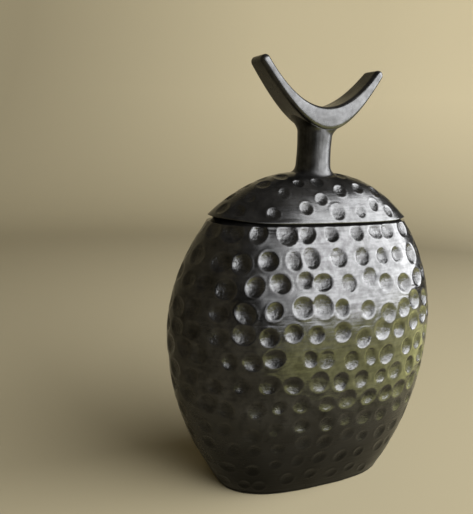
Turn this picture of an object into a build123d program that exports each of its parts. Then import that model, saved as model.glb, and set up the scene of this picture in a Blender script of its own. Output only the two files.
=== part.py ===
from build123d import *
import math
import os

# Lidded jar of burnished black clay: a flattened oval jar under a hollow domed lid, which is lifted
# by a crescent grip on a short stem. +X runs along the long side of the oval, +Y through its depth
# and +Z up. The origin is the middle of the flat base. Sizes are in millimetres.

# Jar, outside. Lengths lie along X and depths along Y.
jar_height = 210.0  # up to the outer edge of the rim
base_length = 146.0
base_depth = 79.0
belly_length = 229.0
belly_depth = 128.0
rim_length = 169.0
rim_depth = 78.0
longest_height = 125.0  # where the jar is longest
deepest_height = 108.0  # where the jar is deepest

# Squareness of the oval: 2 is an ellipse, and more has fuller corners.
base_squareness = 2.7
belly_squareness = 2.1
rim_squareness = 2.4

# Jar, clay thickness
jar_wall_thickness = 8.0
rim_wall_thickness = 7.0
base_thickness = 9.0
rim_crest_rise = 2.0  # the land on top of the wall climbs inwards by this much
rim_crest_width = 2.0  # flat crest round the mouth, which carries the lid

# Lid
lid_inset = 0.8  # the lid's edge lies this far inside the jar's edge
dome_rise = 35.5  # from the lid's edge to the top of the dome
dome_fullness = 2.54  # power of the dome's curve: 2 is a parabola, and more has fuller sides
lid_roof_thickness = 7.5
flange_height = 10.0
flange_thickness = 5.0
flange_clearance = 1.5  # between the flange and the mouth, all round

# Handle
stem_radius = 13.4
stem_height = 31.2  # from the top of the dome to the lowest point of the grip
stem_flare = 3.5  # how far the foot of the stem spreads
stem_flare_height = 10.0
grip_depth = 29.2  # front to back at the middle
grip_end_depth = 18.0  # front to back just past each end
grip_thickness = 17.0  # at the middle, over the stem
saddle_half_span = 45.5  # from the middle to the end of the grip's upper curve
saddle_depth = 30.3
underside_half_span = 51.8  # from the middle to the end of the grip's lower curve
underside_rise = 43.0
underside_slope = 1.37  # mean of the slopes at the ends of the lower curve
underside_lean = 7.0  # how far towards +X those two slopes meet
grip_edge_radius = 2.0
grip_tilt = 2.4  # degrees, with the -X end up
grip_offset = -1.4  # the middle of the grip stands this far towards +X from the stem's axis

# How finely curves are laid out
oval_points = 32
jar_sections = 9
dome_section_sizes = (1.0, 0.97, 0.9, 0.78, 0.62, 0.45, 0.28, 0.12)
round_end_reach = 0.66  # handles of the curve round a grip's end, as a share of its thickness
beyond = 5.0  # how far a cutting solid runs past what it cuts


def swell(height, at_base, at_belly, at_rim, belly_height):
    """A size that grows from the base to the belly and shrinks to the rim along two parabolas."""
    if height < belly_height:
        return at_belly - (at_belly - at_base) * ((belly_height - height) / belly_height) ** 2
    share = (height - belly_height) / (jar_height - belly_height)
    return at_belly - (at_belly - at_rim) * share**2


def oval_edge(half_length, half_depth, squareness, height):
    """One closed smooth curve round a superellipse at a height."""
    points = []
    for i in range(oval_points):
        angle = 2 * math.pi * i / oval_points
        across, along = math.cos(angle), math.sin(angle)
        x = half_length * math.copysign(abs(across) ** (2 / squareness), across)
        y = half_depth * math.copysign(abs(along) ** (2 / squareness), along)
        points.append((x, y, height))
    return Spline(*points, periodic=True)


def oval_face(half_length, half_depth, squareness, height):
    """The flat oval inside that curve."""
    return Face(Wire([oval_edge(half_length, half_depth, squareness, height)]))


def jar_section(height, inset):
    """The jar's oval at a height, drawn in by an inset."""
    half_length = swell(height, base_length, belly_length, rim_length, longest_height) / 2
    half_depth = swell(height, base_depth, belly_depth, rim_depth, deepest_height) / 2
    squareness = swell(height, base_squareness, belly_squareness, rim_squareness, deepest_height)
    return oval_face(half_length - inset, half_depth - inset, squareness, height)


def clay_at(height):
    """The wall's thickness, which falls evenly from the base to the rim."""
    return jar_wall_thickness + (rim_wall_thickness - jar_wall_thickness) * height / jar_height


def rim_oval(inset, height):
    """The rim's own oval, drawn in by an inset, at any height."""
    return oval_face(rim_length / 2 - inset, rim_depth / 2 - inset, rim_squareness, height)


def jar_levels():
    """Heights of the jar's sections, from the base to the rim."""
    return [jar_height * i / (jar_sections - 1) for i in range(jar_sections)]


def jar_hollow():
    """The space inside the wall, from the floor plane to above the mouth."""
    bowl = loft([jar_section(height, clay_at(height)) for height in jar_levels()])
    mouth = extrude(rim_oval(rim_wall_thickness, jar_height), rim_crest_rise + beyond)
    return bowl + mouth


def make_jar_wall():
    """The wall with the land that climbs from its outer edge to the crest round the mouth."""
    body = loft([jar_section(height, 0) for height in jar_levels()])
    crest_inset = rim_wall_thickness - rim_crest_width
    land = loft([rim_oval(0, jar_height), rim_oval(crest_inset, crest_height)], ruled=True)
    return body + land - jar_hollow()


def make_jar_base():
    """The slab that closes the foot of the wall."""
    slab = Box(base_length * 2, base_depth * 2, base_thickness, align=(Align.CENTER, Align.CENTER, Align.MIN))
    return slab & jar_hollow()


def dome_solid(half_length, half_depth, rise):
    """A dome on the rim's kind of oval, standing on the lid's seat."""
    sections = []
    for size in dome_section_sizes:
        height = crest_height + rise * (1 - size**dome_fullness)
        sections.append(oval_face(half_length * size, half_depth * size, rim_squareness, height))
    return loft(sections + [Vertex(0, 0, crest_height + rise)])


def lid_outside():
    """The full dome, before it is hollowed."""
    return dome_solid(rim_length / 2 - lid_inset, rim_depth / 2 - lid_inset, dome_rise)


def make_lid_dome():
    """The hollow dome, whose flat underside rests on the jar's crest."""
    inset = rim_wall_thickness + flange_clearance + flange_thickness
    hollow = dome_solid(rim_length / 2 - inset, rim_depth / 2 - inset, dome_rise - lid_roof_thickness)
    return lid_outside() - hollow


def make_lid_flange():
    """The strip under the dome that drops into the mouth and keeps the lid in place."""
    outer = rim_wall_thickness + flange_clearance
    foot = crest_height - flange_height
    ring = extrude(rim_oval(outer, foot), flange_height)
    return ring - extrude(rim_oval(outer + flange_thickness, foot), flange_height)


def grip_plan():
    """The grip seen from above: two shallow arcs that draw in towards its ends."""
    half_length = underside_half_span + beyond
    half_depth = grip_end_depth / 2
    bulge = grip_depth - half_depth
    front = Bezier((-half_length, -half_depth), (0, -bulge), (half_length, -half_depth))
    back = Bezier((half_length, half_depth), (0, bulge), (-half_length, half_depth))
    right_end = Line((half_length, -half_depth), (half_length, half_depth))
    left_end = Line((-half_length, half_depth), (-half_length, -half_depth))
    return make_face([front, right_end, back, left_end])


def make_handle_crescent():
    """The boat-shaped grip: a parabola above, a conic below and round ends, drawn in at the ends."""
    crest = grip_thickness + saddle_depth
    upper = Bezier(
        (-saddle_half_span, crest),
        (0, grip_thickness - saddle_depth),
        (saddle_half_span, crest),
    )
    low = underside_rise - underside_slope * underside_half_span
    lower = Bezier(
        (-underside_half_span, underside_rise),
        (underside_lean, low),
        (underside_half_span, underside_rise),
        weights=(1, -underside_rise / low, 1),
    )
    ends = []
    for side in (-1, 1):
        above = Vector(side * saddle_half_span, crest)
        below = Vector(side * underside_half_span, underside_rise)
        reach = (above - below).length * round_end_reach
        along_above = Vector(side * saddle_half_span, 2 * saddle_depth).normalized() * reach
        along_below = (below - Vector(underside_lean, low)).normalized() * reach
        ends.append(Bezier(above, above + along_above, below + along_below, below))
    outline = make_face([upper, ends[1], lower, ends[0]])
    band = Pos(0, grip_depth, 0) * extrude(Plane.XZ * outline, grip_depth * 2)
    boat = band & Pos(0, 0, -beyond) * extrude(grip_plan(), crest + beyond * 3)
    front_and_back = [edge for edge in boat.edges() if abs(edge.center().Y) > grip_end_depth / 4]
    grip = fillet(front_and_back, grip_edge_radius)
    return Pos(grip_offset, 0, grip_foot_height) * Rot(Y=grip_tilt) * grip


def make_handle_stem(crescent):
    """The round stem, which flares on to the dome and is shaped to the grip's underside."""
    low = dome_top_height - stem_flare_height
    wide = stem_radius + stem_flare
    spread = dome_top_height + stem_flare_height
    high = grip_foot_height + grip_thickness / 2
    profile = [
        Line((0, low), (wide, low)),
        Line((wide, low), (wide, dome_top_height)),
        Bezier((wide, dome_top_height), (stem_radius, dome_top_height + stem_flare), (stem_radius, spread)),
        Line((stem_radius, spread), (stem_radius, high)),
        Line((stem_radius, high), (0, high)),
        Line((0, high), (0, low)),
    ]
    post = revolve(Plane.XZ * make_face(profile), Axis.Z)
    return post - lid_outside() - crescent


crest_height = jar_height + rim_crest_rise
dome_top_height = crest_height + dome_rise
grip_foot_height = dome_top_height + stem_height

crescent = make_handle_crescent()
parts = {
    "jar_wall": make_jar_wall(),
    "jar_base": make_jar_base(),
    "lid_dome": make_lid_dome(),
    "lid_flange": make_lid_flange(),
    "handle_stem": make_handle_stem(crescent),
    "handle_crescent": crescent,
}

os.makedirs("parts", exist_ok=True)
for name, shape in parts.items():
    export_step(shape, f"parts/{name}.step")
    box = shape.bounding_box()
    print(name, len(shape.solids()), round(shape.volume), box.min, box.max)
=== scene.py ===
import math

import bpy
import numpy as np
from mathutils import Matrix, Vector


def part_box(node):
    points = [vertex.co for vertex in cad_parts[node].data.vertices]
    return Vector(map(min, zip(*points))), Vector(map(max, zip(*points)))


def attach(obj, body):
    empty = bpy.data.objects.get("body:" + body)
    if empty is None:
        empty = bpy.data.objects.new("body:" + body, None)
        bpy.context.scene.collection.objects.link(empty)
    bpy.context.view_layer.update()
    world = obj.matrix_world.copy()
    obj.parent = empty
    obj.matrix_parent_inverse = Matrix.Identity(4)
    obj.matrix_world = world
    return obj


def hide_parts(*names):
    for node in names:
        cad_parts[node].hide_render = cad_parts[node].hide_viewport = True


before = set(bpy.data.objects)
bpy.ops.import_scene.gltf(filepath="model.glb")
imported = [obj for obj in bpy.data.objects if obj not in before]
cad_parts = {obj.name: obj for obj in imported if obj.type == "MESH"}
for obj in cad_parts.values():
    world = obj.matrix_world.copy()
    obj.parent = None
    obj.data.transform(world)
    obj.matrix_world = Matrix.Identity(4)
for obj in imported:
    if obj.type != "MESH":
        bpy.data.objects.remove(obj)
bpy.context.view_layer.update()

# Visual model of a lidded jar of burnished black clay. Each clay member's mesh is a stack of rings
# of points worked out from a few sizes, with the dimples pressed into it as real geometry. The jar's
# base is flat and plain, so it keeps its CAD mesh.

MM = 0.001  # sizes below are in millimetres, and meshes are in metres
RNG = np.random.default_rng(7)


# ---------------------------------------------------------------- sizes that the frame gives

def corner(node):
    """The highest corner of a CAD node, in millimetres."""
    return np.array(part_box(node)[1]) / MM


def lowest(node):
    """The height of a CAD node's lowest point, in millimetres."""
    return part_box(node)[0][2] / MM


WALL = corner("jar_wall")
LID = corner("lid_dome")
FLANGE = corner("lid_flange")

# ---------------------------------------------------------------- sizes repeated from the design

RIM_CREST_RISE = 2.0
JAR_HEIGHT = WALL[2] - RIM_CREST_RISE
BASE_HALF = (73.0, 39.5)
RIM_HALF = (84.5, 39.0)
LONGEST_HEIGHT, DEEPEST_HEIGHT = 125.0, 108.0
SQUARENESS = (2.7, 2.1, 2.4)  # at the base, belly and rim
WALL_THICKNESS, RIM_THICKNESS = 8.0, 7.0
CREST_WIDTH = 2.0
BASE_THICKNESS = 9.0
LID_EDGE_HALF = (83.7, 38.2)
DOME_FULLNESS = 2.54
ROOF_THICKNESS = 7.5
FLANGE_THICKNESS = 5.0
STEM_RADIUS = 13.4
STEM_HEIGHT = 31.2
GRIP_HALF_DEPTH, GRIP_END_HALF_DEPTH = 14.6, 9.0  # at the middle, and at the plan's reach
GRIP_PLAN_REACH = 56.8
GRIP_THICKNESS = 17.0
GRIP_TILT = math.radians(2.4)
GRIP_OFFSET = -1.4
SADDLE_HALF_SPAN, SADDLE_DEPTH = 45.5, 30.3
UNDERSIDE_HALF_SPAN, UNDERSIDE_RISE = 51.8, 43.0
UNDERSIDE_SLOPE, UNDERSIDE_LEAN = 1.37, 7.0

# ---------------------------------------------------------------- dimples

DIMPLE_SOFTNESS = 0.06  # how soft a dimple's edge is, as a share of its depth
LIP_HEIGHT = 0.16  # clay pushed up round a dimple
MOST_OVAL = 0.28  # how much a dimple may be squeezed across, as a share of its radius


# ---------------------------------------------------------------- mesh helpers

def piece(name, rings, looped, material, body, node, marks=None):
    """A mesh skinned over a stack of closed rings. looped joins the last ring to the first; otherwise
    each end closes on a pole at the middle of its ring. marks holds named values for the points."""
    rings = np.asarray(rings, float)
    count, around = rings.shape[:2]
    points = rings.reshape(-1, 3)
    index = np.arange(count * around).reshape(count, around)
    step = np.roll(index, -1, axis=1)
    low, high = (index, np.roll(index, -1, axis=0)) if looped else (index[:-1], index[1:])
    low_step, high_step = (step, np.roll(step, -1, axis=0)) if looped else (step[:-1], step[1:])
    faces = np.stack([low, low_step, high_step, high], -1).reshape(-1, 4).tolist()
    if not looped:
        poles = rings[[0, -1]].mean(1)
        points = np.concatenate([points, poles])
        first, last = count * around, count * around + 1
        faces += [(first, b, a) for a, b in zip(index[0], step[0])]
        faces += [(last, a, b) for a, b in zip(index[-1], step[-1])]
    mesh = bpy.data.meshes.new(name)
    mesh.from_pydata((points * MM).tolist(), [], faces)
    mesh.validate()
    mesh.shade_smooth()
    for mark, amount in (marks or {}).items():
        values = np.zeros(len(points), np.float32)
        values[: amount.size] = amount.reshape(-1)
        mesh.attributes.new(mark, "FLOAT", "POINT").data.foreach_set("value", values)
    mesh.materials.append(material)
    made = bpy.data.objects.new(name, mesh)
    bpy.context.scene.collection.objects.link(made)
    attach(made, body)
    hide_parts(node)
    return made


def normals_of(grid):
    """Unit normals of a grid of points that wraps round along its second axis, facing outwards."""
    along = np.gradient(grid, axis=0)
    around = np.roll(grid, -1, 1) - np.roll(grid, 1, 1)
    normal = np.cross(around, along)
    return normal / (np.linalg.norm(normal, axis=2, keepdims=True) + 1e-12)


def smooth_step(value, low, high):
    """0 below low and 1 above high, with a smooth climb between."""
    share = np.clip((value - low) / (high - low), 0, 1)
    return share * share * (3 - 2 * share)


def oval(half_length, half_depth, squareness, angles):
    """Points of a superellipse at the given angles, as x and y."""
    across, along = np.cos(angles), np.sin(angles)
    x = half_length * np.sign(across) * np.abs(across) ** (2 / squareness)
    y = half_depth * np.sign(along) * np.abs(along) ** (2 / squareness)
    return x, y


def even_angles(half_length, half_depth, squareness, count):
    """Angles that space points evenly round an oval, starting at its +X end."""
    fine = np.linspace(0, 2 * math.pi, 4001)
    x, y = oval(half_length, half_depth, squareness, fine)
    walked = np.concatenate([[0], np.cumsum(np.hypot(np.diff(x), np.diff(y)))])
    return np.interp(np.arange(count) / count * walked[-1], walked, fine)


def slow_waves(points, size, count, height):
    """Gentle unevenness of hand-built clay: a sum of a few long waves in random directions."""
    total = np.zeros(points.shape[:-1])
    for _ in range(count):
        direction = RNG.normal(size=3)
        direction *= 2 * math.pi / size / np.linalg.norm(direction)
        total += np.sin(points @ direction + RNG.uniform(0, 2 * math.pi))
    return total * height / count


def press(grid, normal, dimples):
    """Presses dimples into a grid of points. Returns the moved points and how deep each one went.
    A dimple is (centre, radius, depth): a slightly oval bowl with a soft edge and a faint lip."""
    sunk = np.zeros(grid.shape[:2])
    lip = np.zeros(grid.shape[:2])
    for centre, radius, depth in dimples:
        squeeze = RNG.normal(size=3)
        squeeze /= np.linalg.norm(squeeze)
        away = grid - centre
        oval_share = RNG.uniform(0.0, MOST_OVAL)
        gap = np.linalg.norm(away, axis=2) / radius
        alignment = away @ squeeze / radius / np.maximum(gap, 1e-6)
        gap *= 1 + oval_share * (alignment**2 - 0.3)
        bowl = 1 - gap**2
        softened = 0.5 * (bowl + np.sqrt(bowl**2 + DIMPLE_SOFTNESS**2))
        softened *= 1 - smooth_step(gap, 1.1, 1.45)
        sunk = np.maximum(sunk, softened * depth)
        lip = np.maximum(lip, np.exp(-(((gap - 1.12) / 0.13) ** 2)) * LIP_HEIGHT)
    lip *= 1 - smooth_step(sunk, 0.05, 0.3)
    return grid + normal * (lip - sunk)[..., None], sunk


# ---------------------------------------------------------------- jar

AROUND_JAR = 432
JAR_LEVELS = 196
SKIN_INSET = 0.45  # room inside the CAD surface for raised lips and hand-built unevenness
WAVE_INSET = 0.12  # a little more room for the unevenness alone


def swell(height, at_base, at_belly, at_rim, belly_height):
    """A size that grows from the base to the belly and shrinks to the rim along two parabolas."""
    below = at_belly - (at_belly - at_base) * ((belly_height - height) / belly_height) ** 2
    share = (height - belly_height) / (JAR_HEIGHT - belly_height)
    above = at_belly - (at_belly - at_rim) * share**2
    return np.where(height < belly_height, below, above)


def jar_ring(height, inset, angles):
    """One ring of the jar at a height, drawn in by an inset."""
    half_length = swell(height, BASE_HALF[0], WALL[0], RIM_HALF[0], LONGEST_HEIGHT)
    half_depth = swell(height, BASE_HALF[1], WALL[1], RIM_HALF[1], DEEPEST_HEIGHT)
    squareness = swell(height, *SQUARENESS, DEEPEST_HEIGHT)
    x, y = oval(half_length - inset, half_depth - inset, squareness, angles)
    return np.stack([x, y, np.full_like(x, height)], -1)


def rim_ring(height, inset, angles):
    """One ring on the rim's oval, at any height."""
    x, y = oval(RIM_HALF[0] - inset, RIM_HALF[1] - inset, SQUARENESS[2], angles)
    return np.stack([x, y, np.full_like(x, height)], -1)


def jar_dimples():
    """Hand-pressed dimples in wandering rows from the rim to the foot, each shifted by half a step."""
    row_gap, column_gap, first_row, last_row = 17.4, 18.2, 5.0, 197.0
    side_jitter, height_jitter, wander_height = 1.8, 1.4, 1.9
    faint_below, full_above = 10.0, 105.0
    wander = RNG.uniform(0, 2 * math.pi, 3)
    dimples = []
    rows = int((last_row - first_row) / row_gap)
    for row in range(rows + 1):
        height = JAR_HEIGHT - first_row - row * row_gap
        fine = np.linspace(0, 2 * math.pi, 2001)
        ring = jar_ring(height, SKIN_INSET, fine)
        walked = np.concatenate([[0], np.cumsum(np.linalg.norm(np.diff(ring, axis=0), axis=1))])
        count = round(walked[-1] / column_gap)
        for column in range(count):
            place = (column + 0.5 * (row % 2)) / count * walked[-1] + RNG.normal(0, side_jitter)
            angle = np.interp(place % walked[-1], walked, fine)
            wave = math.sin(3 * angle + wander[0] + 0.7 * row) + math.sin(5 * angle + wander[1])
            drift = (wander_height * wave + RNG.normal(0, height_jitter)) * min(row / 2, 1)
            centre = jar_ring(np.array(height + drift), SKIN_INSET, np.array([angle]))[0]
            rise = float(smooth_step(height, faint_below, full_above))
            radius, depth = RNG.normal(7.0, 0.55), RNG.normal(1.9, 0.3)
            dimples.append((centre, radius * (0.7 + 0.3 * rise), depth * (0.2 + 0.8 * rise)))
    return dimples


def make_jar_wall(material):
    """The dimpled wall, with its softened foot, the land round the mouth and the plain inside."""
    angles = even_angles(WALL[0], WALL[1], SQUARENESS[1], AROUND_JAR)
    foot_radius, edge_radius = 2.0, 1.1
    dull_below, glossy_above = 10.0, 95.0
    heights = np.linspace(foot_radius, JAR_HEIGHT - edge_radius, JAR_LEVELS)
    outside = np.array([jar_ring(h, SKIN_INSET, angles) for h in heights])
    normal = normals_of(outside)
    waves = slow_waves(outside, 70, 9, 0.35) + slow_waves(outside, 24, 12, 0.3)
    outside += normal * (waves - WAVE_INSET)[..., None]
    outside, sunk = press(outside, normal, jar_dimples())

    turns = np.linspace(0, math.pi / 2, 5)[1:]
    foot = []
    for turn in turns[::-1]:
        ring = outside[0] * shrink(outside[0], foot_radius * (1 - math.cos(turn)))
        ring[:, 2] = foot_radius * (1 - math.sin(turn))
        foot.append(ring)
    rounded = []
    for turn in turns:
        ring = outside[-1] * shrink(outside[-1], edge_radius * (1 - math.cos(turn)))
        ring[:, 2] = JAR_HEIGHT - edge_radius + edge_radius * math.sin(turn)
        rounded.append(ring)

    # the land climbs to the crest, whose inner edge is softened
    land = []
    crest = rim_ring(WALL[2], RIM_THICKNESS - CREST_WIDTH, angles)
    for share in (0.35, 0.7):
        ring = rounded[-1] * (1 - share) + crest * share
        ring[:, 2] = JAR_HEIGHT + RIM_CREST_RISE * share
        land.append(ring)
    land += [crest, rim_ring(WALL[2], RIM_THICKNESS - 0.7, angles)]
    land += [rim_ring(WALL[2] - 0.3, RIM_THICKNESS - 0.15, angles)]

    inside = []
    for height in np.linspace(JAR_HEIGHT + 1, 0, 20):
        clay = WALL_THICKNESS + (RIM_THICKNESS - WALL_THICKNESS) * height / JAR_HEIGHT
        if height > JAR_HEIGHT:
            inside.append(rim_ring(height, RIM_THICKNESS, angles))
        else:
            inside.append(jar_ring(height, clay, angles))

    rings = np.array([*foot, *outside, *rounded, *land, *inside])
    pressed = np.zeros(rings.shape[:2])
    pressed[len(foot) : len(foot) + len(outside)] = smooth_step(sunk, 0.1, 0.9)
    # darker towards the foot: this value dims and roughens the clay's reflection, fully below
    # dull_below and fading out by glossy_above
    dull = 1 - smooth_step(rings[..., 2], dull_below, glossy_above)
    marks = {"dull": dull, "pressed": pressed}
    return piece("jar_wall_clay", rings, True, material, "jar", "jar_wall", marks)


def shrink(ring, by):
    """Factors that draw a ring in towards the Z axis by a distance, leaving its height."""
    reach = np.hypot(ring[:, 0], ring[:, 1])
    factor = (reach - by) / reach
    return np.stack([factor, factor, np.ones_like(factor)], -1)


# ---------------------------------------------------------------- lid

AROUND_LID = 336
LID_RINGS = 84
TIP_LIFT = (2.2, 0.9)  # how far the lid's edge sweeps up at its -X and +X ends


def dome_height(x, y):
    """Height of the dome over a point, before the ends are swept up."""
    foot = lowest("lid_dome")
    n = SQUARENESS[2]
    size = (np.abs(x / LID_EDGE_HALF[0]) ** n + np.abs(y / LID_EDGE_HALF[1]) ** n) ** (1 / n)
    return foot + (LID[2] - foot) * (1 - size**DOME_FULLNESS)


def tip_lift(x):
    """How far a point of the lid's edge is swept up."""
    share = np.abs(x) / LID_EDGE_HALF[0]
    return np.where(x < 0, *TIP_LIFT) * smooth_step(share, 0.62, 1.0)


def spread_out(points, spacing, start):
    """Picks points that are evenly spread, each as far as it can be from those picked before."""
    chosen = [start]
    gap = np.linalg.norm(points - points[start], axis=1)
    while gap.max() > spacing:
        chosen.append(int(np.argmax(gap)))
        gap = np.minimum(gap, np.linalg.norm(points - points[chosen[-1]], axis=1))
    return points[chosen]


def make_lid_dome(material):
    """The dimpled dome, its thin swept edge, the flat seat and the hollow."""
    foot = lowest("lid_dome")
    rise = LID[2] - foot
    angles = even_angles(*LID_EDGE_HALF, SQUARENESS[2], AROUND_LID)
    sizes = np.linspace(1, 0.04, 400)
    path = np.hypot(np.diff(sizes) * LID_EDGE_HALF[0], np.diff(rise * (1 - sizes**DOME_FULLNESS)))
    walked = np.concatenate([[0], np.cumsum(path)])
    sizes = np.interp(np.linspace(0, walked[-1], LID_RINGS), walked, sizes)
    unit_x, unit_y = oval(1, 1, SQUARENESS[2], angles)
    outside = []
    for size in sizes:
        x, y = unit_x * LID_EDGE_HALF[0] * size, unit_y * LID_EDGE_HALF[1] * size
        z = foot + rise * (1 - size**DOME_FULLNESS) + tip_lift(x) * size**3
        outside.append(np.stack([x, y, z], -1))
    outside = np.array(outside)
    normal = normals_of(outside)
    from_edge = np.linalg.norm(outside - outside[0], axis=2)
    plan = np.hypot(outside[..., 0], outside[..., 1])
    edge_margin, stem_margin, spacing, start = 8.5, 21.0, 13.4, 40
    room = outside[(from_edge > edge_margin) & (plan > stem_margin)]
    centres = spread_out(room, spacing, start)
    dimples = [(c, RNG.normal(5.1, 0.45), RNG.normal(1.15, 0.18)) for c in centres]
    wave_inset = 0.27
    waves = slow_waves(outside, 50, 9, 0.3) + slow_waves(outside, 20, 12, 0.22) - wave_inset
    outside += normal * (waves * smooth_step(from_edge, 0.5, 5))[..., None]
    outside, sunk = press(outside, normal, dimples)

    edge = outside[0]
    seat = []
    for inset, drop in ((0.35, 0.21), (1.6, 0.45)):
        ring = edge * shrink(edge, inset)
        ring[:, 2] = edge[:, 2] - drop
        seat.append(ring)
    land_inset = LID_EDGE_HALF[0] - (RIM_HALF[0] - RIM_THICKNESS + CREST_WIDTH)
    x, y = oval(LID_EDGE_HALF[0] - land_inset, LID_EDGE_HALF[1] - land_inset, SQUARENESS[2], angles)
    seat.append(np.stack([x, y, np.full_like(x, foot)], -1))
    flange_in = RIM_HALF[0] - FLANGE[0] + FLANGE_THICKNESS
    hollow_half = np.array([RIM_HALF[0] - flange_in, RIM_HALF[1] - flange_in])
    hollow = []
    for size in np.concatenate([[1.0], sizes[4::4]]):
        x, y = oval(*(hollow_half * size), SQUARENESS[2], angles)
        z = foot + (rise - ROOF_THICKNESS) * (1 - size**DOME_FULLNESS)
        hollow.append(np.stack([x, y, np.full_like(x, z)], -1))
    rings = np.array([*outside[::-1], *seat, *hollow])
    pressed = np.zeros(rings.shape[:2])
    pressed[: len(outside)] = smooth_step(sunk[::-1], 0.1, 0.7)
    marks = {"pressed": pressed}
    return piece("lid_dome_clay", rings, False, material, "lid", "lid_dome", marks)


def make_lid_flange(material):
    """The locating strip under the dome, with a softened lower edge."""
    top, foot = FLANGE[2], lowest("lid_flange")
    angles = even_angles(FLANGE[0], FLANGE[1], SQUARENESS[2], 224)
    outer, inner = RIM_HALF[0] - FLANGE[0], FLANGE_THICKNESS
    # (inset, height) down the outer face, round the foot and up the inner face
    steps = [(0.0, top), (0.0, top - 4), (0.0, foot + 2), (0.5, foot + 0.7), (1.5, foot)]
    steps += [(inner - 1.5, foot), (inner - 0.5, foot + 0.7), (inner, foot + 2), (inner, top)]
    rings = [rim_ring(height, outer + inset, angles) for inset, height in steps[::-1]]
    return piece("lid_flange_clay", rings, True, material, "lid", "lid_flange")


# ---------------------------------------------------------------- handle

GRIP_FOOT = LID[2] + STEM_HEIGHT


def tilted(x, z):
    """Points of the grip's profile, tilted about the middle of its underside with the -X end up."""
    height = z - GRIP_FOOT
    turned_x = x * math.cos(GRIP_TILT) + height * math.sin(GRIP_TILT)
    turned_z = GRIP_FOOT + height * math.cos(GRIP_TILT) - x * math.sin(GRIP_TILT)
    return np.stack([turned_x + GRIP_OFFSET, turned_z], -1)


def lower_curve():
    """The grip's lower curve, a conic, as points from its -X end to its +X end."""
    low = UNDERSIDE_RISE - UNDERSIDE_SLOPE * UNDERSIDE_HALF_SPAN
    weight = -UNDERSIDE_RISE / low
    t = np.linspace(0, 1, 801)
    share = np.stack([(1 - t) ** 2, 2 * weight * t * (1 - t), t**2])
    share /= share.sum(0)
    x = (share[2] - share[0]) * UNDERSIDE_HALF_SPAN + share[1] * UNDERSIDE_LEAN
    return tilted(x, GRIP_FOOT + (share[0] + share[2]) * UNDERSIDE_RISE + share[1] * low)


def upper_curve():
    """The grip's upper curve, a parabola, as points from its -X end to its +X end."""
    x = np.linspace(-SADDLE_HALF_SPAN, SADDLE_HALF_SPAN, 801)
    return tilted(x, GRIP_FOOT + GRIP_THICKNESS + SADDLE_DEPTH * (x / SADDLE_HALF_SPAN) ** 2)


def underside(x):
    """Height of the grip's lower curve over a distance from the middle."""
    curve = lower_curve()
    return np.interp(x, curve[:, 0], curve[:, 1])


def evenly(curve, count):
    """Points spread evenly along a curve."""
    walked = np.concatenate([[0], np.cumsum(np.linalg.norm(np.diff(curve, axis=0), axis=1))])
    places = np.linspace(0, walked[-1], count)
    return np.stack([np.interp(places, walked, curve[:, i]) for i in (0, 1)], -1)


def band_section(half_height, half_depth, radius, count):
    """Points round a rectangle with round corners, as height and depth."""
    angles = (np.arange(count) + 0.5) / count * 2 * math.pi
    across, along = np.cos(angles), np.sin(angles)
    box = np.maximum(np.abs(across), np.abs(along))
    square = np.stack([across / box * half_height, along / box * half_depth], -1)
    limit = np.array([max(half_height - radius, 0), max(half_depth - radius, 0)])
    inner = np.clip(square, -limit, limit)
    outward = square - inner
    length = np.linalg.norm(outward, axis=1, keepdims=True)
    return inner + outward / np.maximum(length, 1e-9) * np.minimum(length, radius)


def make_handle_crescent(material):
    """The boat-shaped grip: sections along its curve, thick in the middle, narrower and round at the
    tips, with slightly crowned faces above and below."""
    around, count = 96, 150
    upper, lower = evenly(upper_curve(), count), evenly(lower_curve(), count)
    middle = (upper + lower) / 2
    spine = upper - lower
    half = np.linalg.norm(spine, axis=1) / 2
    spine /= 2 * half[:, None]
    lean = np.stack([spine[:, 1], -spine[:, 0]], -1)
    crown, corner_radius, tip_slim, tip_reach = 0.03, 3.0, 2.2, 0.95
    least_corner, least_tip = 0.35, 0.05

    def ring(i, reach, scale, slim):
        """One section, moved along the arm by a reach, with its thickness scaled and depth slimmed."""
        centre = middle[i] + lean[i] * reach
        share = np.clip((centre[0] - GRIP_OFFSET) / GRIP_PLAN_REACH, -1, 1)
        depth = GRIP_HALF_DEPTH - (GRIP_HALF_DEPTH - GRIP_END_HALF_DEPTH) * share**2
        radius = corner_radius * max(scale, least_corner)
        section = band_section(half[i] * scale, depth - slim, radius, around)
        section[:, 1] *= 1 - crown * (section[:, 0] / (half[i] * scale)) ** 2
        xz = centre + section[:, :1] * spine[i]
        return np.stack([xz[:, 0], section[:, 1], xz[:, 1]], -1)

    def tip(i, side):
        """Sections that round off an end."""
        made = []
        for turn in np.linspace(0, math.pi / 2, 9)[1:]:
            reach = side * tip_reach * half[i] * math.sin(turn)
            scale = max(math.cos(turn), least_tip)
            made.append(ring(i, reach, scale, tip_slim * (1 - math.cos(turn))))
        return made

    rings = tip(0, -1)[::-1] + [ring(i, 0, 1, 0) for i in range(count)] + tip(-1, 1)
    rings = np.array(rings)[:, ::-1]
    return piece(
        "handle_crescent_clay", rings, False, material, "lid", "handle_crescent"
    )


def quadratic(share, start, turn, end):
    """A value on a quadratic curve, a share of the way along it."""
    return start * (1 - share) ** 2 + turn * 2 * share * (1 - share) + end * share**2


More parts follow.
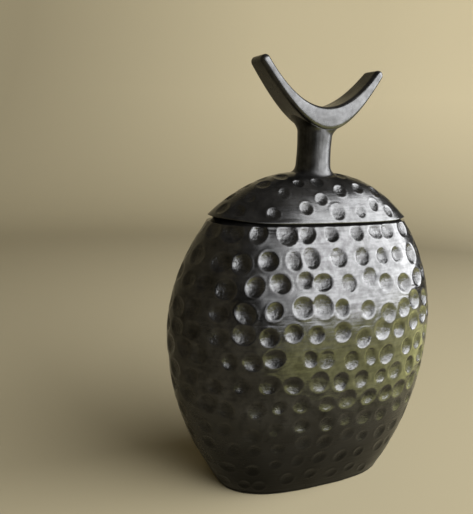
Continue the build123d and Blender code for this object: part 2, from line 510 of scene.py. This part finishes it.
def make_handle_stem(material):
    """The slightly oval post, which flares into the dome below and into the grip's underside above,
    further along X than along Y."""
    angles = np.arange(128) / 128 * 2 * math.pi
    c, s = np.cos(angles), np.sin(angles)
    foot_spread = 6.0 * c**2 + 3.0 * s**2
    head_spread = 8.0 * c**2
    foot_rise, head_drop = 7.5, 4.0  # how far the two flares run along the shaft
    foot_sunk, head_sunk, hidden_depth = 0.35, 0.5, 3.0  # how far the ends go into their neighbours
    foot_hidden, head_hidden = 0.7, 0.6  # reach of the hidden end rings, as a share of the flare's
    head_dip, waist = 3.0, 0.35
    radius = STEM_RADIUS * (1 - 0.02 * s**2)

    def dome(reach):
        return dome_height(reach * c, reach * s)

    def ring(reach, height):
        return np.stack([reach * c, reach * s, height], -1)

    foot_reach = radius + foot_spread
    foot_z = dome(foot_reach) - foot_sunk
    foot_slope = dome(foot_reach) - dome(foot_reach - 1)  # per millimetre
    foot_turn = foot_z - foot_slope * foot_spread
    shaft_low = foot_turn + foot_rise

    head_reach = radius + head_spread
    head_z = underside(head_reach * c) + head_sunk
    head_turn = underside(radius * c) - head_dip * c**2
    shaft_high = head_turn - head_drop

    rings = [ring(foot_reach * foot_hidden, dome(foot_reach * foot_hidden) - hidden_depth)]
    for share in np.linspace(0, 1, 10):
        height = quadratic(share, foot_z, foot_turn, shaft_low)
        rings.append(ring(quadratic(share, foot_reach, radius, radius), height))
    for share in np.linspace(0, 1, 16)[1:-1]:
        height = shaft_low * (1 - share) + shaft_high * share
        rings.append(ring(radius - waist * math.sin(math.pi * share), height))
    for share in np.linspace(0, 1, 10):
        height = quadratic(share, shaft_high, head_turn, head_z)
        rings.append(ring(quadratic(share, radius, radius, head_reach), height))
    head_inside = head_reach * head_hidden
    rings.append(ring(head_inside, underside(head_inside * c) + hidden_depth))
    return piece(
        "handle_stem_clay", rings, False, material, "lid", "handle_stem"
    )


# ---------------------------------------------------------------- materials

def texture(nodes, links, kind, vector, **settings):
    """A texture node fed by a vector, with its inputs set by name."""
    made = nodes.new(kind)
    for name, value in settings.items():
        made.inputs[name.replace("_", " ")].default_value = value
    links.new(vector, made.inputs["Vector"])
    return made


def stretched(nodes, links, vector, scale):
    """A vector scaled differently along each axis."""
    made = nodes.new("ShaderNodeMapping")
    made.inputs["Scale"].default_value = scale
    links.new(vector, made.inputs["Vector"])
    return made.outputs["Vector"]


def spread(nodes, links, value, low, high, to_low, to_high):
    """A value stretched from one range to another."""
    made = nodes.new("ShaderNodeMapRange")
    made.inputs["From Min"].default_value, made.inputs["From Max"].default_value = low, high
    made.inputs["To Min"].default_value, made.inputs["To Max"].default_value = to_low, to_high
    links.new(value, made.inputs["Value"])
    return made.outputs["Result"]


def combined(nodes, links, first, second, operation="ADD"):
    """Two values added, or combined by another operation."""
    made = nodes.new("ShaderNodeMath")
    made.operation = operation
    links.new(first, made.inputs[0])
    links.new(second, made.inputs[1])
    return made.outputs["Value"]


def distance_along(nodes, links, vector, direction):
    """How far a vector goes in a direction."""
    made = nodes.new("ShaderNodeVectorMath")
    made.operation = "DOT_PRODUCT"
    made.inputs[1].default_value = direction
    links.new(vector, made.inputs[0])
    return made.outputs["Value"]


def ramp(nodes, links, value, places, colours):
    """A colour ramp of two colours at two places."""
    made = nodes.new("ShaderNodeValToRGB")
    for element, place, colour in zip(made.color_ramp.elements, places, colours):
        element.position, element.color = place, (*colour, 1)
    links.new(value, made.inputs["Fac"])
    return made.outputs["Color"]


def bump(nodes, links, height, strength, distance, below=None):
    """A bump, laid over another one if that is given."""
    made = nodes.new("ShaderNodeBump")
    made.inputs["Strength"].default_value, made.inputs["Distance"].default_value = strength, distance
    links.new(height, made.inputs["Height"])
    if below is not None:
        links.new(below, made.inputs["Normal"])
    return made.outputs["Normal"]


def named_value(nodes, name):
    """A value that the mesh holds for each of its points, or 0 where it holds none."""
    made = nodes.new("ShaderNodeAttribute")
    made.attribute_name = name
    return made.outputs["Fac"]


def burnished_clay(name, tone, streak_scale, gloss, wear):
    """Burnished black clay: near-black with a graphite gloss, patchy polish and fine tool streaks.
    Metallic over so dark a colour only weakens the reflection, so in patches it stands for a worn
    polish. The clay is rougher, with a much darker reflection, where the mesh's dull value is high,
    which is towards the jar's foot, and the polish is scarred where its pressed value is."""
    material = bpy.data.materials.new(name)
    material.use_nodes = True
    nodes, links = material.node_tree.nodes, material.node_tree.links
    shader = nodes["Principled BSDF"]
    shader.inputs["IOR"].default_value = 1.52

    place = nodes.new("ShaderNodeTexCoord").outputs["Object"]
    along = stretched(nodes, links, place, streak_scale)
    streaks = texture(nodes, links, "ShaderNodeTexNoise", along, Scale=1.0, Detail=5)
    patches = texture(nodes, links, "ShaderNodeTexNoise", place, Scale=42, Detail=6)
    clouds = texture(nodes, links, "ShaderNodeTexNoise", place, Scale=160, Detail=8, Roughness=0.62)
    grains = texture(nodes, links, "ShaderNodeTexNoise", place, Scale=700, Detail=3)
    pits = texture(nodes, links, "ShaderNodeTexVoronoi", place, Scale=260)
    dull, pressed = named_value(nodes, "dull"), named_value(nodes, "pressed")

    dark, pale = [v * 0.6 for v in tone], [v * 1.7 for v in tone]
    colour = ramp(nodes, links, patches.outputs["Fac"], (0.35, 0.7), (dark, pale))
    links.new(colour, shader.inputs["Base Color"])

    roughness = spread(nodes, links, patches.outputs["Fac"], 0.3, 0.7, *gloss)
    brushed = spread(nodes, links, streaks.outputs["Fac"], 0.3, 0.7, -0.04, 0.07)
    roughness = combined(nodes, links, roughness, brushed)
    roughness = combined(nodes, links, roughness, spread(nodes, links, dull, 0, 1, 0, 0.14))
    links.new(roughness, shader.inputs["Roughness"])

    worn = spread(nodes, links, clouds.outputs["Fac"], 0.35, 0.68, *wear)
    streaky = spread(nodes, links, streaks.outputs["Fac"], 0.35, 0.68, -0.07, 0.15)
    worn = combined(nodes, links, worn, streaky)
    # towards the jar's foot the reflection is dimmed nearly to black
    worn = combined(nodes, links, worn, spread(nodes, links, dull, 0, 1, 0, 0.88), "MAXIMUM")
    worn = combined(nodes, links, worn, spread(nodes, links, pressed, 0, 1, 0, 0.12))
    links.new(worn, shader.inputs["Metallic"])

    level = spread(nodes, links, clouds.outputs["Fac"], 0, 1, -0.5, 0.5)
    scars = combined(nodes, links, level, pressed, "MULTIPLY")
    flat = bump(nodes, links, streaks.outputs["Fac"], 0.35, 0.0002)
    flat = bump(nodes, links, grains.outputs["Fac"], 0.07, 0.0002, flat)
    flat = bump(nodes, links, scars, 0.6, 0.002, flat)
    dents = spread(nodes, links, pits.outputs["Distance"], 0.0, 0.12, 0, 1)
    flat = bump(nodes, links, dents, 0.05, 0.0002, flat)
    links.new(flat, shader.inputs["Normal"])
    return material


def matte_clay(name):
    """Unburnished black clay, as left inside the jar and under the lid: dull, with scraping marks."""
    material = bpy.data.materials.new(name)
    material.use_nodes = True
    nodes, links = material.node_tree.nodes, material.node_tree.links
    shader = nodes["Principled BSDF"]
    shader.inputs["IOR"].default_value = 1.45
    place = nodes.new("ShaderNodeTexCoord").outputs["Object"]
    clouds = texture(nodes, links, "ShaderNodeTexNoise", place, Scale=60, Detail=8)
    scraped = stretched(nodes, links, place, (30, 30, 500))
    scrapes = texture(nodes, links, "ShaderNodeTexNoise", scraped, Scale=1.0, Detail=4)
    tones = ((0.018, 0.017, 0.016), (0.042, 0.04, 0.037))
    links.new(ramp(nodes, links, clouds.outputs["Fac"], (0.3, 0.7), tones), shader.inputs["Base Color"])
    roughness = spread(nodes, links, clouds.outputs["Fac"], 0.2, 0.8, 0.55, 0.8)
    links.new(roughness, shader.inputs["Roughness"])
    flat = bump(nodes, links, clouds.outputs["Fac"], 0.4, 0.0005)
    flat = bump(nodes, links, scrapes.outputs["Fac"], 0.35, 0.0003, flat)
    links.new(flat, shader.inputs["Normal"])
    return material


# ---------------------------------------------------------------- studio

def make_floor():
    """A plain pale floor that curves up all round into a plain wall, with painted light and shade in
    its colour: the floor is painted paler towards the camera's left as painted fill light, the wall
    carries a painted wash of light that grows towards the camera's right, and in front at the right,
    which the camera doesn't see, the wall is painted nearly black as a painted dark room for the clay
    to reflect."""
    right, right_front = (0.863, -0.505, 0), (0.702, -0.712, 0)
    tones = ((0.13, 0.111, 0.067), (0.8, 0.7, 0.47))
    material = bpy.data.materials.new("floor_painted_light")
    material.use_nodes = True
    nodes, links = material.node_tree.nodes, material.node_tree.links
    shader = nodes["Principled BSDF"]
    place = nodes.new("ShaderNodeTexCoord").outputs["Object"]
    reach = nodes.new("ShaderNodeVectorMath")
    reach.operation = "LENGTH"
    links.new(place, reach.inputs[0])
    sideways = distance_along(nodes, links, place, right)
    # painted fill light: the floor's colour is painted paler towards the camera's left, away from the
    # window lamp
    floor_painted_fill = spread(nodes, links, sideways, -0.25, 0.25, 0.23, 0.14)
    wall = spread(nodes, links, reach.outputs["Value"], 1.2, 2.2, 0, 1)
    # painted light: a wash that makes the wall's colour paler towards the camera's right, beyond 1.2 m
    # from the middle
    painted_wash_rightwards = spread(nodes, links, sideways, -1.2, 0.7, 0, 0.68)
    wall_painted_wash = combined(nodes, links, wall, painted_wash_rightwards, "MULTIPLY")
    share = combined(nodes, links, floor_painted_fill, wall_painted_wash)

    # painted shade: in front at the right the wall's colour is scaled nearly to black, a painted dark
    # room for the clay to reflect; the floor within about 1 m of the middle is spared
    beside = distance_along(nodes, links, place, right_front)
    painted_dark_room = spread(nodes, links, beside, 0.2, 0.5, 1, 0.06)
    nearby = spread(nodes, links, reach.outputs["Value"], 1.0, 1.6, 1, 0)
    shaded = nodes.new("ShaderNodeVectorMath")
    shaded.operation = "SCALE"
    links.new(ramp(nodes, links, share, (0, 1), tones), shaded.inputs[0])
    links.new(combined(nodes, links, painted_dark_room, nearby, "MAXIMUM"), shaded.inputs["Scale"])
    links.new(shaded.outputs["Vector"], shader.inputs["Base Color"])
    shader.inputs["Roughness"].default_value = 0.95
    shader.inputs["Specular IOR Level"].default_value = 0.1

    flat_reach, bend, wall_height, around = 1.3, 1.0, 3.0, 96
    profile = [(distance, 0.0) for distance in np.linspace(0.01, flat_reach, 8)]
    for turn in np.linspace(0, math.pi / 2, 13)[1:]:
        profile.append((flat_reach + bend * math.sin(turn), bend * (1 - math.cos(turn))))
    profile.append((flat_reach + bend, wall_height))
    angles = np.arange(around) / around * 2 * math.pi
    points = [(r * math.cos(a), r * math.sin(a), z) for r, z in profile for a in angles]
    faces = [tuple(range(around))]
    for low in range(len(profile) - 1):
        for i in range(around):
            a, b = low * around + i, low * around + (i + 1) % around
            faces.append((a, b, b + around, a + around))
    mesh = bpy.data.meshes.new("floor")
    mesh.from_pydata(points, [], faces)
    mesh.shade_smooth()
    mesh.materials.append(material)
    floor = bpy.data.objects.new("floor", mesh)
    bpy.context.scene.collection.objects.link(floor)


def make_light(name, bearing, foot, head, width, radiance, colour):
    """A soft rectangular lamp that faces the jar. Its bearing is an angle from -Y towards +X, and its
    foot and head are (distance, height) of its lower and upper edges."""
    rise = math.hypot(head[0] - foot[0], head[1] - foot[1])
    lamp = bpy.data.lights.new(name, "AREA")
    lamp.shape = "RECTANGLE"
    lamp.size, lamp.size_y = width, rise
    lamp.energy = radiance * math.pi * width * rise
    lamp.color = colour
    made = bpy.data.objects.new(name, lamp)
    turn = math.radians(bearing)
    outwards = Vector((math.sin(turn), -math.cos(turn), 0))
    distance, height = (foot[0] + head[0]) / 2, (foot[1] + head[1]) / 2
    facing = -outwards * (head[1] - foot[1]) + Vector((0, 0, head[0] - foot[0]))
    made.location = outwards * distance + Vector((0, 0, height))
    made.rotation_euler = facing.to_track_quat("-Z", "Y").to_euler()
    made.visible_camera = False
    bpy.context.scene.collection.objects.link(made)


def make_world():
    """A dim, warm light from all round, and colours shown as they are."""
    world = bpy.data.worlds.new("studio")
    world.use_nodes = True
    sky = world.node_tree.nodes["Background"]
    sky.inputs["Color"].default_value = (1.0, 0.93, 0.8, 1)
    sky.inputs["Strength"].default_value = 0.15
    bpy.context.scene.world = world
    bpy.context.scene.view_settings.view_transform = "Standard"


def make_camera():
    """The camera, set by where it stands round the jar and how it is turned from the jar's axis."""
    azimuth, turn, tilt, roll = (math.radians(v) for v in (-30.3, 7.14, 11.18, 1.94))
    distance, height, focal = 0.4571, 0.2671, 40.4
    heading = azimuth + turn
    forward = Vector(
        (-math.sin(heading) * math.cos(tilt), math.cos(heading) * math.cos(tilt), -math.sin(tilt))
    )
    level = Vector((math.cos(heading), math.sin(heading), 0))
    upright = level.cross(forward)
    right = level * math.cos(roll) + upright * math.sin(roll)
    up = upright * math.cos(roll) - level * math.sin(roll)
    lens = bpy.data.cameras.new("camera")
    lens.lens, lens.sensor_width = focal, 36.0
    lens.clip_start, lens.clip_end = 0.01, 50
    camera = bpy.data.objects.new("camera", lens)
    turned = Matrix((right, up, -forward)).transposed().to_4x4()
    place = Vector((math.sin(azimuth) * distance, -math.cos(azimuth) * distance, height))
    camera.matrix_world = Matrix.Translation(place) @ turned
    bpy.context.scene.collection.objects.link(camera)
    bpy.context.scene.camera = camera


make_camera()
make_world()
make_floor()
daylight = (0.97, 0.98, 1.0)
make_light("window", 50, (1.2, 0.16), (1.2, 1.35), 2.0, 14.0, daylight)
make_light("curtain", -1, (1.2, 0.16), (1.2, 1.1), 0.5, 4.5, daylight)
make_light("garden", 42, (0.2, 0.002), (0.62, 0.15), 0.7, 2.3, (0.8, 0.8, 0.28))

black = (0.005, 0.0047, 0.0044)
body_clay = burnished_clay("jar_clay", black, (55, 55, 650), (0.14, 0.24), (-0.1, 0.5))
lid_clay = burnished_clay("lid_clay", black, (55, 55, 650), (0.17, 0.27), (-0.05, 0.4))
grip_clay = burnished_clay("grip_clay", black, (60, 120, 120), (0.22, 0.32), (0.1, 0.5))
stem_clay = burnished_clay("stem_clay", black, (500, 500, 40), (0.28, 0.38), (0.3, 0.75))
plain_clay = matte_clay("plain_clay")

make_jar_wall(body_clay)
make_lid_dome(lid_clay)
make_lid_flange(plain_clay)
make_handle_crescent(grip_clay)
make_handle_stem(stem_clay)
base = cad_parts["jar_base"]
base.data.materials.clear()
base.data.materials.append(plain_clay)
